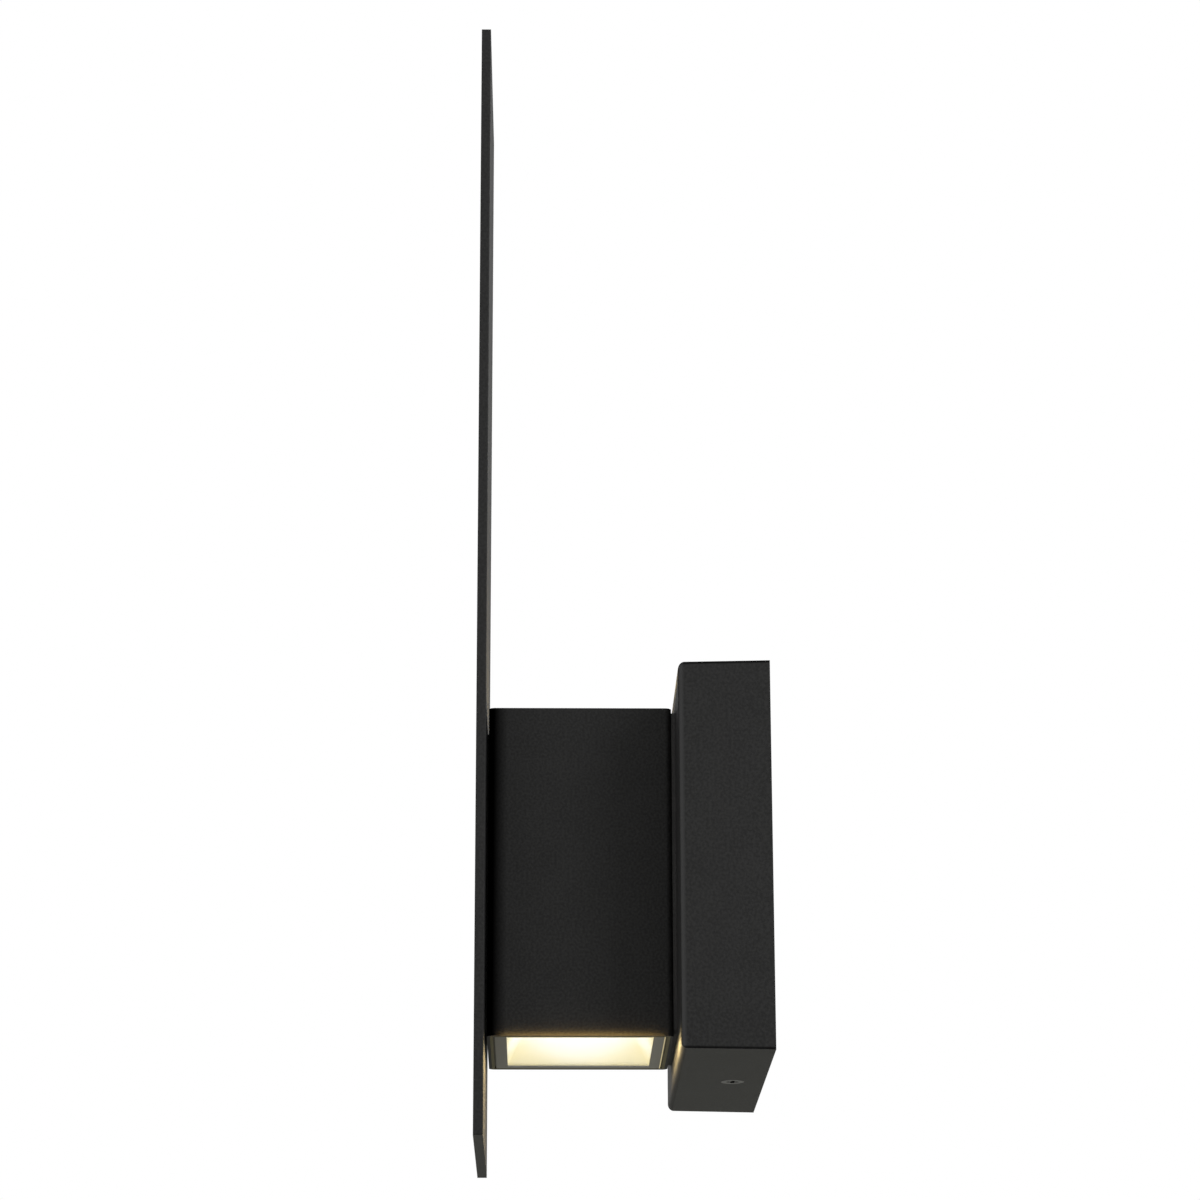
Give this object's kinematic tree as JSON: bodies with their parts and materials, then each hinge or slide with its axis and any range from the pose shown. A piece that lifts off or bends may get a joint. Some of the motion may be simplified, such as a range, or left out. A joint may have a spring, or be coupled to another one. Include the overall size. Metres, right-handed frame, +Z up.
{
  "type": "outdoor wall light",
  "caption": "Up-and-down outdoor wall light: tall flat front plate on a short light housing, lit by glass panes at top and bottom, on a box-shaped wall canopy with a slotted bracket.",
  "frame": {"origin": "middle of the canopy's back on the wall, which is the middle of the bracket's box slots", "axes": "+Z up, +Y into the wall, -Y towards the front plate, +X along the wall"},
  "size_m": [0.148, 0.1135, 0.457],
  "materials": {
    "paint": "fine-textured matte black powder coat",
    "cast_paint": "fine-textured matte black powder coat on a casting",
    "steel": "plated steel",
    "zinc_steel": "galvanised sheet steel",
    "green_steel": "green ground screw",
    "black_steel": "black oxide steel",
    "sheet_aluminium": "plain bent sheet",
    "black_rubber": "matte silicone",
    "pad_rubber": "soft thermal pad",
    "white_plastic": "white reflector plastic",
    "white_board": "white-coated metal-core board",
    "driver_plastic": "potted driver case",
    "lead_jacket": "jacketed lead",
    "lit_chip": "lit LED",
    "lit_glass": "clear glass with a grey printed border, lit from behind"
  },
  "bodies": {
    "fixture": {"front_plate": "paint", "plate_studs": "steel", "plate_gasket": "black_rubber", "stud_washers": "steel", "stud_nuts": "steel", "light_housing": "paint", "lower_pane": "lit_glass", "upper_pane": "lit_glass", "lower_seal": "black_rubber", "upper_seal": "black_rubber", "lower_reflector": "white_plastic", "upper_reflector": "white_plastic", "lower_led_board": "white_board", "upper_led_board": "white_board", "lower_led_chips": "lit_chip", "upper_led_chips": "lit_chip", "lower_thermal_pad": "pad_rubber", "upper_thermal_pad": "pad_rubber", "board_screws": "steel", "led_chassis": "sheet_aluminium", "clinch_nuts": "steel", "led_driver": "driver_plastic", "driver_screws": "steel", "lower_led_lead": "lead_jacket", "upper_led_lead": "lead_jacket", "housing_gasket": "black_rubber", "wire_bushing": "black_rubber", "canopy": "cast_paint", "housing_screws": "steel", "housing_screw_washers": "steel", "wall_gasket": "black_rubber", "mounting_bracket": "zinc_steel", "lug_nuts": "steel", "ground_screw": "green_steel"},
    "lower_screw": {"lower_canopy_screw": "black_steel"},
    "upper_screw": {"upper_canopy_screw": "black_steel"}
  },
  "joints": [
    {"name": "lower_screw_turn", "type": "hinge", "parent": "fixture", "child": "lower_screw", "pos_m": [0, -0.0125, -0.069], "axis": [0, 0, 1], "continuous": true},
    {"name": "upper_screw_turn", "type": "hinge", "parent": "fixture", "child": "upper_screw", "pos_m": [0, -0.0125, 0.069], "axis": [0, 0, 1], "continuous": true}
  ]
}
